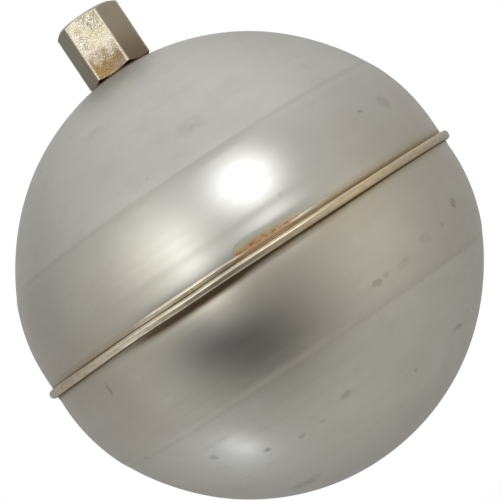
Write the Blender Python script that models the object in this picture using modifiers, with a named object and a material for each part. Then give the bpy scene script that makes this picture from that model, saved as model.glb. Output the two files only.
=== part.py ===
"""Ball float: two drawn stainless steel hemispheres hemmed together round the equator, with a hexagonal
threaded spud brazed on the upper pole. A float rod screws into the spud and carries the float.

Units are metres, +Z is up. The origin is the centre of the spud's outer end face, where the rod enters, and
the ball hangs below it. Profiles are written as (radius, height) pairs, in millimetres from the ball's centre
for the shells and their seam, and in millimetres from the origin for the spud.
"""

import math

import bmesh
import bpy
from mathutils import Matrix, Vector

MM = 0.001

# Ball
BALL_RADIUS = 76.2  # 6 inch ball
SHEET = 0.76  # 22 gauge sheet
PINCH = 0.7  # how much the rolling of the seam draws the wall in at the equator
PINCH_SPREAD = 8.0  # degrees of latitude over which that dies away
GAP = 0.3  # left between neighbouring pieces, where the filler metal has run

# Seam: the lower shell's rim is folded up and over the upper shell's flange
SEAM_RADIUS = 77.6  # outermost point of the folded rim
HEM_HALF = 1.5 * SHEET + GAP  # half of the three layers and the two gaps between them
HEM_CENTRE = SEAM_RADIUS - HEM_HALF
FLANGE_EDGE = HEM_CENTRE
LIP_EDGE = HEM_CENTRE - 0.36
BEND = 0.5  # radius of the bend from wall to flange

# Spud, from inch hexagon bar
SPUD_ACROSS_FLATS = 20.64  # 13/16 inch
SPUD_LENGTH = 22.2  # 7/8 inch
SPUD_FACE_RADIUS = 9.8  # flat of each end inside its chamfer
CHAMFER_ANGLE = 27.0
CORNER_RADIUS = SPUD_ACROSS_FLATS / math.sqrt(3)
PILOT_RADIUS = 7.0  # stub that goes through the shell and the washer
FLARE_RADIUS = 8.3  # end of the stub, spread over the washer
FLARE_THICKNESS = 1.0

# Thread 3/8-16 UNC
PITCH = 25.4 / 16
THREAD_MAJOR = 9.525 / 2
THREAD_MINOR = 7.94 / 2
THREAD_DEPTH = 16.0
HOLE_DEPTH = 18.0
MOUTH_RADIUS = 5.3  # countersink at the mouth
DRILL_POINT = 59.0  # half angle

# Seat pressed flat on the upper shell for the spud, and the washer behind it
SEAT_RADIUS = 12.8
SEAT_HEIGHT = math.sqrt(BALL_RADIUS**2 - SEAT_RADIUS**2)
WASHER_RADIUS = 11.5
WASHER_THICKNESS = 1.5

BALL_CENTRE = -(SPUD_LENGTH + GAP + SEAT_HEIGHT)  # height of the ball's centre from the origin

# Roundness
SHELL_STEPS = 64
RING_STEPS = 64
SPUD_STEPS = 48
THREAD_STEPS = 16
LATITUDE_STEP = 7.5  # degrees between the rings of a shell
MERGE = 0.00001


def clear_scene():
    for obj in list(bpy.data.objects):
        bpy.data.objects.remove(obj)


def new_collection(name):
    collection = bpy.data.collections.new(name)
    bpy.context.scene.collection.children.link(collection)
    return collection


def metal(name, colour, roughness):
    material = bpy.data.materials.new(name)
    material.use_nodes = True
    shader = material.node_tree.nodes["Principled BSDF"]
    shader.inputs["Base Color"].default_value = (*colour, 1.0)
    shader.inputs["Roughness"].default_value = roughness
    shader.inputs["Metallic"].default_value = 1.0
    return material


def add_object(name, mesh, collection, material=None):
    obj = bpy.data.objects.new(name, mesh)
    collection.objects.link(obj)
    if material:
        mesh.materials.append(material)
    return obj


def as_cutter(obj):
    obj.hide_render = True
    obj.display_type = "WIRE"
    return obj


def boolean(obj, operation, other):
    modifier = obj.modifiers.new(f"{operation.lower()} {other.name}", "BOOLEAN")
    modifier.operation = operation
    modifier.solver = "EXACT"
    modifier.object = other


def arc(centre, radius, start, end, steps):
    """Points of an arc, with angles in degrees from the radial direction."""
    angles = [math.radians(start + (end - start) * i / steps) for i in range(steps + 1)]
    return [(centre[0] + radius * math.cos(a), centre[1] + radius * math.sin(a)) for a in angles]


def turned(name, profile, collection, steps, material=None, closed=True):
    """Solid or surface of revolution about Z. The profile runs down its outer side."""
    mesh = bpy.data.meshes.new(name)
    points = [(radius * MM, 0.0, height * MM) for radius, height in profile]
    edges = [(i, i + 1) for i in range(len(points) - 1)]
    if closed:
        edges.append((len(points) - 1, 0))
    mesh.from_pydata(points, edges, [])
    obj = add_object(name, mesh, collection, material)
    screw = obj.modifiers.new("turn", "SCREW")
    screw.axis = "Z"
    screw.angle = math.tau
    screw.steps = screw.render_steps = steps
    screw.use_smooth_shade = True
    screw.use_merge_vertices = True
    screw.merge_threshold = MERGE
    return obj


def wall_point(latitude):
    """A point of a shell's outer surface, in the upper half for a positive latitude."""
    radius = BALL_RADIUS - PINCH * math.exp(-((latitude / PINCH_SPREAD) ** 2))
    angle = math.radians(latitude)
    return radius * math.cos(angle), radius * math.sin(angle)


def wall_arc(start, end):
    """The outer surface between two latitudes, closer together near the seam, where it bends most."""
    count = max(1, round(abs(end - start) / LATITUDE_STEP))
    return [wall_point(start + (end - start) * i / count) for i in range(count + 1)]


def sheet_metal(obj):
    """Gives a turned surface the sheet's thickness, inwards."""
    solidify = obj.modifiers.new("sheet", "SOLIDIFY")
    solidify.thickness = SHEET * MM
    solidify.offset = -1.0
    solidify.use_even_offset = True


def upper_shell(collection, material):
    flange_top = SHEET / 2
    bend_height = flange_top + BEND
    bend_latitude = math.degrees(math.asin(bend_height / BALL_RADIUS))
    wall_radius = wall_point(bend_latitude)[0]
    seat_latitude = math.degrees(math.acos(SEAT_RADIUS / BALL_RADIUS))
    profile = [(PILOT_RADIUS + GAP, SEAT_HEIGHT), (SEAT_RADIUS - 1.0, SEAT_HEIGHT)]
    profile += wall_arc(seat_latitude - 1.0, 12.0)
    profile += [wall_point(latitude) for latitude in (9.0, 6.0, 3.0)]
    profile += arc((wall_radius + BEND, bend_height), BEND, 180, 270, 3)
    profile.append((FLANGE_EDGE, flange_top))
    shell = turned("upper_shell", profile, collection, SHELL_STEPS, material, closed=False)
    sheet_metal(shell)
    shell.location.z = BALL_CENTRE * MM


def lower_shell(collection, material):
    bend_height = -HEM_HALF - BEND
    bend_latitude = math.degrees(math.asin(bend_height / BALL_RADIUS))
    wall_radius = wall_point(bend_latitude)[0]
    profile = [(LIP_EDGE, HEM_HALF)]
    profile += arc((HEM_CENTRE, 0.0), HEM_HALF, 90, -90, 6)
    profile += arc((wall_radius + BEND, bend_height), BEND, 90, 180, 3)
    profile += [wall_point(latitude) for latitude in (-3.5, -6.0, -9.0)]
    profile += wall_arc(-12.0, -90.0 + LATITUDE_STEP)
    profile.append((0.0, -BALL_RADIUS))
    shell = turned("lower_shell", profile, collection, SHELL_STEPS, material, closed=False)
    sheet_metal(shell)
    shell.location.z = BALL_CENTRE * MM


def seam_braze(collection, material):
    """Fillet of filler metal in the corner between the folded lip and the upper shell's wall."""
    height = HEM_HALF + GAP
    inner = wall_point(0.0)[0] + GAP + 0.03
    profile = [(inner, height + 0.95), (inner + 0.22, height + 0.36), (inner + 0.85, height), (inner, height)]
    ring = turned("seam_braze", profile, collection, RING_STEPS, material)
    ring.location.z = BALL_CENTRE * MM


def chamfer_drop(radius):
    """How far the chamfer has fallen from the end face at a radius."""
    return (radius - SPUD_FACE_RADIUS) * math.tan(math.radians(CHAMFER_ANGLE))


def thread_cutter(collection):
    """The space of the internal thread: one pitch of its profile swept along a helix, with its ends cut flat."""
    root = THREAD_MINOR - 0.07  # stays inside the bore, so that the two cutters cross cleanly
    flank = (THREAD_MAJOR - root) * math.tan(math.radians(30))
    flat = PITCH / 8
    land = (PITCH - flat - 2 * flank) / 2
    drops = [0.0, land, land + flank, land + flank + flat, land + 2 * flank + flat, PITCH]
    radii = [root, root, THREAD_MAJOR, THREAD_MAJOR, root, root]
    points = [(radius * MM, 0.0, -drop * MM) for radius, drop in zip(radii, drops, strict=True)]
    sweep_mesh = bpy.data.meshes.new("thread_sweep")
    sweep_mesh.from_pydata(points, [(i, i + 1) for i in range(len(points) - 1)], [])
    sweep = as_cutter(add_object("thread_sweep", sweep_mesh, collection))
    screw = sweep.modifiers.new("helix", "SCREW")
    screw.angle = math.tau
    screw.screw_offset = -PITCH * MM
    screw.iterations = math.ceil(THREAD_DEPTH / PITCH) + 3
    screw.steps = screw.render_steps = THREAD_STEPS
    bpy.context.view_layer.update()
    graph = bpy.context.evaluated_depsgraph_get()
    mesh = bpy.data.meshes.new_from_object(sweep.evaluated_get(graph))
    bpy.data.objects.remove(sweep)
    work = bmesh.new()
    work.from_mesh(mesh)
    bmesh.ops.remove_doubles(work, verts=work.verts, dist=MERGE / 10)
    bmesh.ops.translate(work, verts=work.verts, vec=Vector((0, 0, 2 * PITCH * MM)))
    for height, direction in ((0.4, 1), (-THREAD_DEPTH, -1)):
        whole = work.verts[:] + work.edges[:] + work.faces[:]
        plane = Vector((0, 0, height * MM))
        cut = bmesh.ops.bisect_plane(
            work, geom=whole, plane_co=plane, plane_no=Vector((0, 0, direction)), clear_outer=True
        )
        rim = [e for e in cut["geom_cut"] if isinstance(e, bmesh.types.BMEdge)]
        bmesh.ops.edgenet_fill(work, edges=rim)
    bmesh.ops.recalc_face_normals(work, faces=work.faces)
    work.to_mesh(mesh)
    work.free()
    return as_cutter(add_object("thread_cutter", mesh, collection))


def hex_bar(collection, top, bottom):
    """A length of hexagon bar with a flat facing each way along Y."""
    mesh = bpy.data.meshes.new("hex_bar")
    work = bmesh.new()
    bmesh.ops.create_cone(
        work,
        cap_ends=True,
        segments=6,
        radius1=CORNER_RADIUS * MM,
        radius2=CORNER_RADIUS * MM,
        depth=(top - bottom) * MM,
        matrix=Matrix.Translation((0, 0, (top + bottom) / 2 * MM)) @ Matrix.Rotation(math.radians(30), 4, "Z"),
    )
    work.to_mesh(mesh)
    work.free()
    return as_cutter(add_object("hex_bar", mesh, collection))


def hex_spud(collection, cutters, material):
    """Turned and bored as a round piece, then brought to the hexagon and threaded."""
    outer = CORNER_RADIUS + 1.0
    drop = chamfer_drop(outer)
    flare_top = -(SPUD_LENGTH + SHEET + WASHER_THICKNESS + 3 * GAP)
    flare_end = flare_top - FLARE_THICKNESS
    drill_drop = THREAD_MINOR / math.tan(math.radians(DRILL_POINT))
    profile = [
        (0.0, -HOLE_DEPTH),
        (THREAD_MINOR, drill_drop - HOLE_DEPTH),
        (THREAD_MINOR, THREAD_MINOR - MOUTH_RADIUS),
        (MOUTH_RADIUS, 0.0),
        (SPUD_FACE_RADIUS, 0.0),
        (outer, -drop),
        (outer, drop - SPUD_LENGTH),
        (SPUD_FACE_RADIUS, -SPUD_LENGTH),
        (PILOT_RADIUS, -SPUD_LENGTH),
        (PILOT_RADIUS, flare_top),
        (FLARE_RADIUS, flare_top),
        (FLARE_RADIUS - 0.5, flare_end),
        (0.0, flare_end),
    ]
    spud = turned("hex_spud", profile, collection, SPUD_STEPS, material, closed=False)
    spud.rotation_euler.z = math.pi / SPUD_STEPS  # the hexagon's corners fall midway between two steps
    boolean(spud, "INTERSECT", hex_bar(cutters, 1.0, flare_end - 1.0))
    boolean(spud, "DIFFERENCE", thread_cutter(cutters))


def spud_braze(collection, material):
    """Filler metal in the wedge between the spud's chamfered foot and the seat."""
    foot = -SPUD_LENGTH
    inner = SPUD_FACE_RADIUS + 0.9
    top = foot + chamfer_drop(inner) - GAP
    profile = [(inner, top), (inner + 0.9, top + 0.1), (inner + 1.5, foot + 0.05), (inner + 1.4, foot), (inner, foot)]
    turned("spud_braze", profile, collection, RING_STEPS, material)


def backing_washer(collection, material):
    top = -(SPUD_LENGTH + SHEET + 2 * GAP)
    bottom = top - WASHER_THICKNESS
    inner = PILOT_RADIUS + GAP
    edge = 0.3
    profile = [
        (inner, top),
        (WASHER_RADIUS - edge, top),
        (WASHER_RADIUS, top - edge),
        (WASHER_RADIUS, bottom + edge),
        (WASHER_RADIUS - edge, bottom),
        (inner, bottom),
    ]
    turned("backing_washer", profile, collection, SPUD_STEPS, material)


def main():
    clear_scene()
    float_parts = new_collection("ball_float")
    cutters = new_collection("cutters")
    shell_steel = metal("shell_steel", (0.60, 0.59, 0.57), 0.35)
    spud_steel = metal("spud_steel", (0.58, 0.50, 0.38), 0.35)
    filler_metal = metal("filler_metal", (0.62, 0.38, 0.22), 0.4)
    inner_steel = metal("inner_steel", (0.50, 0.49, 0.48), 0.5)
    upper_shell(float_parts, shell_steel)
    lower_shell(float_parts, shell_steel)
    seam_braze(float_parts, filler_metal)
    hex_spud(float_parts, cutters, spud_steel)
    spud_braze(float_parts, filler_metal)
    backing_washer(float_parts, inner_steel)


main()
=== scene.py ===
"""Looks for the ball float: two steel shells hemmed together, copper brazing and a threaded hexagon spud."""

import math

import bpy
import numpy as np
from mathutils import Matrix, Vector, noise


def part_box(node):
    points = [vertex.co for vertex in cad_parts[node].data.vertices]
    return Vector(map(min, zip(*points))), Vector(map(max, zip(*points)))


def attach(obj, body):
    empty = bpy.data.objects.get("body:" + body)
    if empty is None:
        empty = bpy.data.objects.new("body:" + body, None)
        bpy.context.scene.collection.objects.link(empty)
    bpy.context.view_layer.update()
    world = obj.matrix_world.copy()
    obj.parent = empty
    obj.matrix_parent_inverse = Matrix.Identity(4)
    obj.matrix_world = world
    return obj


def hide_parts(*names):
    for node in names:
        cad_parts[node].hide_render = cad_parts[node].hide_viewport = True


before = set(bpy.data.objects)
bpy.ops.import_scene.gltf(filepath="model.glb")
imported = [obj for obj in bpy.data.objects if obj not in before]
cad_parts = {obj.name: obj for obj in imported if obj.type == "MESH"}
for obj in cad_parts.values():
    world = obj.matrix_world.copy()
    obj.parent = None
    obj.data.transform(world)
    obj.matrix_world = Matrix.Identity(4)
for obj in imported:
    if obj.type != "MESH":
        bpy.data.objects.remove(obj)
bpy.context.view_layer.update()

MM = 0.001
TAU = math.tau

# ---------------------------------------------------------------- sizes, in millimetres
BALL_RADIUS = 76.2
SHEET = 0.76
SHRINK = 1.0 - SHEET / BALL_RADIUS  # from a shell's outer face to its inner face
BULGE = 0.42  # the drawn belt stands this far outside the true sphere
BELT_STEP = 0.18  # and drops by this much at its edge
BELT_END = 25.7  # latitude of that edge, in degrees from the seam
BELT_EDGE = BALL_RADIUS * math.sin(math.radians(BELT_END))  # and its height above the seam
SEAM_RADIUS = 77.6
HEM_HALF = 1.44  # half the height of the fold
HEM_CENTRE = SEAM_RADIUS - HEM_HALF
LIP_RADIUS = HEM_CENTRE - 0.42  # where the folded lip ends
FLARE_END = 2.8  # latitude where the flare under the fold meets the wall
FLANGE_BEND = 75.35  # distance from the axis to the bend of the upper shell's flange
FLANGE_HALF = 0.38
FILLER_START = 0.10  # the seam's filler metal starts this far above the fold
FILLER_HEIGHT = 1.35
RIDGE_EXTRA = 0.45  # and is this much higher where it stands up in a ridge
FILLER_SKIN = 0.015  # its thickness at its upper edge
FILLER_ROOT = 0.06  # its inner face lies this far inside the wall
SEAT_RADIUS = 12.8
SEAT_FLAT = 10.6
FILLET_INNER = 10.3  # the spud's filler metal starts this far from the axis
FILLET_UNDER = 0.33  # and its underside lies this far below the spud's foot
FILLET_FALL = 0.16  # slope of its outer part
SPUD_APOTHEM = 10.32
SPUD_LENGTH = 22.2
SPUD_CORNER = 0.45  # radius of the hexagon's corners
SPUD_FACE_RADIUS = 9.8
CHAMFER_ANGLE = 27.0
PILOT_RADIUS = 7.0
PILOT_GAP = 0.3  # between the stub and the hole in the shell
STUB_LENGTH = 3.1
STAKE_RADIUS = 8.3  # the stub's end, spread over the washer inside
STAKE_START = 3.16
STAKE_END = 4.16
PITCH = 25.4 / 16
THREAD_MAJOR = 4.7625
THREAD_MINOR = 3.97
THREAD_END = 15.4
BORE_DEPTH = 18.0
COUNTERSINK = 5.15  # radius of the countersink at the mouth, where it starts
SHEET_WAVES = ((16.0, 0.022), (6.0, 0.004), (45.0, 0.06))  # size and depth of the sheet's unevenness

BALL_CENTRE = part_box("lower_shell")[0].z / MM + BALL_RADIUS
SEAT_HEIGHT = math.sqrt(BALL_RADIUS**2 - SEAT_RADIUS**2)

# ---------------------------------------------------------------- where the camera stands
CAMERA_AZIMUTH = 8.8  # degrees, to the +X side of the flat that faces -Y
CAMERA_ELEVATION = -0.84
CAMERA_ROLL = 33.7
CAMERA_DISTANCE = 625.0
CAMERA_LENS = 137.4
CAMERA_PAN = -0.012  # degrees, so that the ball sits a little left of the picture's centre
CAMERA_TILT = 0.4534  # and a little low in it
FRONT = math.radians(CAMERA_AZIMUTH - 90.0)  # azimuth of the side that faces the camera


# ---------------------------------------------------------------- shape helpers
def smooth(x, low, high):
    t = np.clip((x - low) / (high - low), 0.0, 1.0)
    return t * t * (3.0 - 2.0 * t)


def gauss(x, centre, width):
    return np.exp(-(((x - centre) / width) ** 2))


def soft_min(a, b, k):
    h = np.clip(0.5 + 0.5 * (b - a) / k, 0.0, 1.0)
    return b + (a - b) * h - k * h * (1.0 - h)


def arc(centre, radius, start, end, steps):
    angles = np.radians(np.linspace(start, end, steps + 1))
    return [(centre[0] + radius * math.cos(a), centre[1] + radius * math.sin(a)) for a in angles]


class Profile:
    """Rows of a turned surface. A row is a number that holds all round, or one value for each angle."""

    def __init__(self, angles):
        self.angles = angles
        self.radius, self.height = [], []

    def add(self, radius, height):
        for rows, value in ((self.radius, radius), (self.height, height)):
            rows.append(np.broadcast_to(value, self.angles.shape).astype(float))

    def extend(self, radii, heights):
        for radius, height in zip(radii, heights):
            self.add(radius, height)

    def follow(self, outline):
        for radius, height in outline:
            self.add(radius, height)

    def points(self):
        radius, height = np.array(self.radius), np.array(self.height)
        return np.stack([radius * np.cos(self.angles), radius * np.sin(self.angles), height], axis=2)


def add_object(name, mesh):
    obj = bpy.data.objects.new(name, mesh)
    bpy.context.scene.collection.objects.link(obj)
    return obj


def turned_object(name, points, poles=(), closed=True):
    """A surface through rows of points round the axis. The rows in poles each meet in one point."""
    columns = points.shape[1]
    verts, index, count = [], [], 0
    for row, ring in enumerate(points):
        single = row in poles
        verts.append(ring.mean(axis=0)[None, :] if single else ring)
        index.append(np.full(columns, count) if single else np.arange(count, count + columns))
        count += 1 if single else columns
    pairs = [(row, row + 1) for row in range(len(points) - 1)]
    if closed:
        pairs.append((len(points) - 1, 0))
    faces = []
    for a, b in pairs:
        near, far = index[a], index[b]
        next_near, next_far = np.roll(near, -1), np.roll(far, -1)
        if a in poles and b in poles:
            continue
        if a in poles:
            corners = (near, far, next_far)
        elif b in poles:
            corners = (far, next_near, near)
        else:
            corners = (near, far, next_far, next_near)
        faces += np.stack(corners, axis=1).tolist()
    mesh = bpy.data.meshes.new(name)
    mesh.from_pydata((np.concatenate(verts) * MM).tolist(), [], faces)
    mesh.validate()
    mesh.shade_smooth()
    return add_object(name, mesh)


def ripple(points, size, depth, seed):
    """Soft unevenness, as an offset for each point."""
    shift = Vector((seed * 7.3, seed * 3.1, seed * 5.7))
    values = [noise.noise(Vector(p) / size + shift) for p in points.reshape(-1, 3)]
    return depth * np.array(values).reshape(points.shape[:2])


def push_out(points, distance, axes=(1.0, 1.0, 1.0)):
    """Moves points away from the origin, or from the axis where axes leaves the height out."""
    aim = points * axes
    length = np.linalg.norm(aim, axis=2, keepdims=True)
    return points + aim / np.maximum(length, 1e-6) * distance[..., None]


def dented(points, amount, seed):
    """The sheet's slight unevenness after drawing and spinning."""
    shape = sum(ripple(points, size, depth, seed + row) for row, (size, depth) in enumerate(SHEET_WAVES))
    return push_out(points, shape * amount)


# ---------------------------------------------------------------- the shells' wall and the fold at the seam
COLUMNS = 360
ANGLES = np.linspace(0.0, TAU, COLUMNS, endpoint=False)
# degrees round from the side that faces the camera
SIDE = np.degrees((ANGLES - FRONT + math.pi) % TAU - math.pi)
WALL_STEPS = np.concatenate([
    np.arange(3.2, 12.0, 0.6),
    np.arange(12.0, 22.5, 1.1),
    np.arange(22.8, 28.0, 0.35),
    np.arange(28.3, 88.9, 1.2),
    [89.4],
])


def wall_radius(latitude, side):
    """Radius of a shell's outer surface: a full belt that ends in a small step, drawn in at the seam."""
    steep = np.abs(latitude)
    step = smooth(steep, BELT_END - 2.4, BELT_END + 0.2) * (1.0 - smooth(steep, 32.0, 60.0))
    belt = BULGE * gauss(steep, 21.0, 13.0) - BELT_STEP * step
    front = 1.0 - smooth(np.abs(side), 20.0, 70.0)
    # how far each shell is drawn in near the seam
    upper = (0.72 - 0.42 * front) * gauss(latitude, 0.0, 9.0) + 0.35 * gauss(latitude, 0.0, 1.9)
    # low ledges stand out from the front of the upper shell
    ledge = 0.18 - 0.10 * smooth(-side, -2.0, 4.0)
    upper = upper - front * (ledge * gauss(latitude, 4.0, 2.0) + 0.06 * smooth(latitude, 7.1, 8.9))
    lower = 0.62 * gauss(latitude, 0.0, 9.0) + 0.35 * gauss(latitude, 0.0, 3.0)
    return BALL_RADIUS + belt - np.where(np.asarray(latitude) > 0.0, upper, lower)


def wall_rows(latitudes):
    """Distance from the axis and height above the seam, for rows of the wall."""
    latitude = np.asarray(latitudes, dtype=float)[:, None]
    radius = wall_radius(latitude, SIDE[None, :])
    return radius * np.cos(np.radians(latitude)), radius * np.sin(np.radians(latitude))


def wall_at(height):
    """Distance from the axis to the wall at a height above the seam."""
    latitude = np.arcsin(height / BALL_RADIUS)
    return wall_radius(np.degrees(latitude), SIDE) * np.cos(latitude)


def hem_lift(side):
    """The fold isn't quite square to the axis."""
    return -0.20 * np.sin(np.radians(side)) + 0.30 * gauss(side, -32.0, 11.0) + 0.13 * gauss(side, -5.0, 9.0)


def hem_rows(steps=46):
    """Outline of the fold from its lip, over the nose, to the crevice underneath."""
    turn = np.radians(np.linspace(97.0, -100.0, steps))[:, None]
    c, s = np.abs(np.cos(turn)), np.abs(np.sin(turn))
    # the section is a superellipse, squarer where the fold was pressed
    pressed = smooth(SIDE, 12.0, 30.0) * (1.0 - smooth(SIDE, 120.0, 160.0))
    power = (2.15 + 0.35 * pressed)[None, :]
    reach = (c**power + s**power) ** (-1.0 / power)
    # thinner to the left of the front, and slightly wavy all round
    slim = 0.10 * gauss(SIDE, -32.0, 22.0)
    wave = 0.030 * np.sin(5 * ANGLES + 0.4) + 0.022 * np.sin(13 * ANGLES + 2.0) + 0.012 * np.sin(31 * ANGLES)
    reach = reach * (HEM_HALF - slim + wave)[None, :]
    height = reach * np.sin(turn)
    # two fine lines run along the nose, which leans out a little at the top
    line = (0.14 * np.sin(4 * ANGLES) - 0.30)[None, :]
    groove = 0.045 * gauss(height, line, 0.22) + 0.025 * gauss(height, line + 0.85, 0.12)
    lean = (0.05 + 0.15 * gauss(SIDE, -5.0, 15.0))[None, :]
    radius = HEM_CENTRE + reach * np.cos(turn) - groove * c + lean * height * c**2
    return radius, height + hem_lift(SIDE)[None, :]


def lower_shell():
    rows = Profile(ANGLES)
    hem_r, hem_z = hem_rows()
    rows.add(LIP_RADIUS, hem_z[0])
    rows.add(0.5 * (LIP_RADIUS + hem_r[0]), hem_z[0])
    rows.extend(hem_r, hem_z)
    # a tight crevice, then the wall flares out from below to meet the underside of the fold
    for inset, drop in ((0.42, 0.03), (0.50, 0.14), (0.34, 0.27)):
        rows.add(hem_r[-1] - inset, hem_z[-1] - drop)
    foot_r, foot_z = (rows_of[0] for rows_of in wall_rows([-FLARE_END]))
    start_r, start_z = hem_r[-1] - 0.17, hem_z[-1] - 0.34
    for f in np.linspace(0.0, 1.0, 14):
        rows.add(foot_r + (start_r - foot_r) * (1.0 - f) ** 2.3, start_z + (foot_z - start_z) * f)
    rows.extend(*wall_rows(-WALL_STEPS))
    rows.add(0.0, -BALL_RADIUS)
    outer = len(rows.radius)
    # inner face of the sheet, coarser, from the pole back to the lip
    rows.add(0.0, SHEET - BALL_RADIUS)
    inner_r, inner_z = wall_rows([-88.0, *np.arange(-84.0, -3.9, 4.0)])
    rows.extend(inner_r * SHRINK, inner_z * SHRINK)
    rows.add(74.9, -0.72)
    rows.follow(arc((HEM_CENTRE, 0.0), HEM_HALF - SHEET, -90, 90, 8))
    rows.add(LIP_RADIUS, HEM_HALF - SHEET)
    amount = smooth(-np.array(rows.height), 3.0, 7.0)
    amount[outer:] = 0.0
    points = dented(rows.points(), amount, 1)
    points[..., 2] += BALL_CENTRE
    return turned_object("float_lower_shell", points, poles=(outer - 1, outer))


def upper_shell():
    rows = Profile(ANGLES)
    for radius in (PILOT_RADIUS + PILOT_GAP, 9.0, SEAT_FLAT):
        rows.add(radius, SEAT_HEIGHT)
    # quadratic blend from the flat seat into the wall
    blend_end = math.degrees(math.acos(SEAT_RADIUS / BALL_RADIUS)) - 2.2
    end_r, end_z = (rows_of[0] for rows_of in wall_rows([blend_end]))
    for f in np.linspace(0.08, 1.0, 10):
        radius = (1 - f) ** 2 * (SEAT_FLAT + 0.3) + 2 * f * (1 - f) * (SEAT_RADIUS - 0.4) + f * f * end_r
        rows.add(radius, (1 - f * f) * SEAT_HEIGHT + f * f * end_z)
    rows.extend(*wall_rows([*WALL_STEPS[WALL_STEPS < blend_end - 0.8][::-1], 2.7, 2.2, 1.8, 1.4]))
    outer = len(rows.radius)
    # the flange turned out at the rim, between its two bends
    bend = (FLANGE_BEND, FLANGE_HALF + 0.5)
    rows.follow(arc(bend, 0.5, 180, 270, 4))
    rows.add(HEM_CENTRE, FLANGE_HALF)
    rows.add(HEM_CENTRE, -FLANGE_HALF)
    rows.follow(arc(bend, 0.5 + SHEET, 270, 180, 5))
    inner_r, inner_z = wall_rows(np.arange(4.0, 79.0, 4.0))
    rows.extend(inner_r * SHRINK, inner_z * SHRINK)
    for radius in (SEAT_FLAT, PILOT_RADIUS + PILOT_GAP):
        rows.add(radius, SEAT_HEIGHT - SHEET)
    amount = smooth(np.array(rows.height), 3.0, 7.0) * smooth(np.array(rows.radius), 13.0, 22.0)
    amount[outer:] = 0.0
    points = dented(rows.points(), amount, 4)
    points[..., 2] += BALL_CENTRE
    return turned_object("float_upper_shell", points)


# ---------------------------------------------------------------- filler metal at the seam
def filler_ridge(side):
    """1 where the filler metal stands up in a ridge beside the fold, near 0 where it is a thin fillet."""
    near = smooth(side, -28.0, -18.0) * (1.0 - smooth(side, -5.0, 1.0)) + 0.50 * gauss(side, 17.0, 3.2)
    far = 0.7 * gauss(side, 118.0, 26.0) + 0.5 * gauss(side, -146.0, 18.0)
    return near + far


def seam_filler():
    """Filler metal in the crevice behind the lip: a low ridge in places, a thin fillet elsewhere."""
    ridge = filler_ridge(SIDE)
    low = HEM_HALF + FILLER_START + hem_lift(SIDE)
    lumps = 0.06 * np.sin(9 * ANGLES) + 0.04 * np.sin(23 * ANGLES + 1.0) + 0.03 * np.sin(41 * ANGLES + 2.0)
    top = low + FILLER_HEIGHT + RIDGE_EXTRA * ridge + lumps
    swell = (0.05 + 0.33 * ridge) * (1.0 + 0.10 * np.sin(17 * ANGLES) + 0.08 * np.sin(37 * ANGLES + 1.3))
    rows = Profile(ANGLES)
    # the outer face from its upper edge down to the fold, then the inner face back up
    for f in np.linspace(0.0, 1.0, 18):
        height = top + (low - top) * f
        crest = np.sin(math.pi * min(f / 0.86, 1.0)) ** 1.3 * swell
        fillet = (0.22 - 0.10 * ridge) * f**3
        rows.add(wall_at(height) + FILLER_SKIN + crest + fillet, height)
    for f in np.linspace(0.0, 1.0, 6):
        height = low + (top - low) * f
        rows.add(wall_at(height) - FILLER_ROOT, height - (0.1 if f == 0.0 else 0.0))
    points = rows.points()
    points[..., 2] += BALL_CENTRE
    return turned_object("float_seam_filler", points)


# ---------------------------------------------------------------- hexagon spud
CHAMFER_STEPS = (0.02, 0.07, 0.14, 0.22, 0.31, 0.4, 0.5, 0.6, 0.7, 0.8, 0.9, 1.0, 1.1, 1.22, 1.4, 1.7, 2.2)


def hexagon(angles):
    """Distance from the axis to the side of the hexagon, with its corners eased. Flats face +Y and -Y."""
    from_corner = np.abs(((angles + math.pi / 6) % (math.pi / 3)) - math.pi / 6)
    flat = SPUD_APOTHEM / np.cos(math.pi / 6 - from_corner)
    centre = (SPUD_APOTHEM - SPUD_CORNER) / math.cos(math.pi / 6)
    tangent = math.atan2(SPUD_CORNER * math.sin(math.pi / 6), centre + SPUD_CORNER * math.cos(math.pi / 6))
    inside = np.sqrt(np.maximum(SPUD_CORNER**2 - (centre * np.sin(from_corner)) ** 2, 0.0))
    return np.where(from_corner < tangent, centre * np.cos(from_corner) + inside, flat)


def spud_angles():
    """More columns close to the hexagon's corners."""
    t = np.linspace(-1.0, 1.0, 44, endpoint=False)
    spread = (math.pi / 6) * (0.35 * t + 0.65 * t**3)
    return np.concatenate([corner * math.pi / 3 + spread for corner in range(6)])


def threaded_bore(rows):
    """From the drill point up to the mouth. The wall follows the helix, as far as the thread goes."""
    drill = THREAD_MINOR / math.tan(math.radians(59.0))
    for f in (0.0, 0.35, 0.7, 1.0):
        rows.add(THREAD_MINOR * f, drill * f - BORE_DEPTH)
    flank = (THREAD_MAJOR - THREAD_MINOR) * math.tan(math.radians(30.0)) / PITCH
    for z in np.arange(-THREAD_END - 0.05, -0.55, PITCH / 14):
        phase = (z / PITCH - rows.angles / TAU) % 1.0
        depth = 1.0 - np.clip((np.abs(phase - 0.5) - 0.0625) / flank, 0.0, 1.0)
        depth = depth * smooth(z, -THREAD_END, -14.2)
        radius = THREAD_MINOR + (THREAD_MAJOR - THREAD_MINOR) * depth
        rows.add(np.maximum(radius, COUNTERSINK + z), z)
    rows.follow(((4.85, -0.42), (5.05, -0.24), (5.24, -0.07), (5.38, 0.0)))


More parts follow.
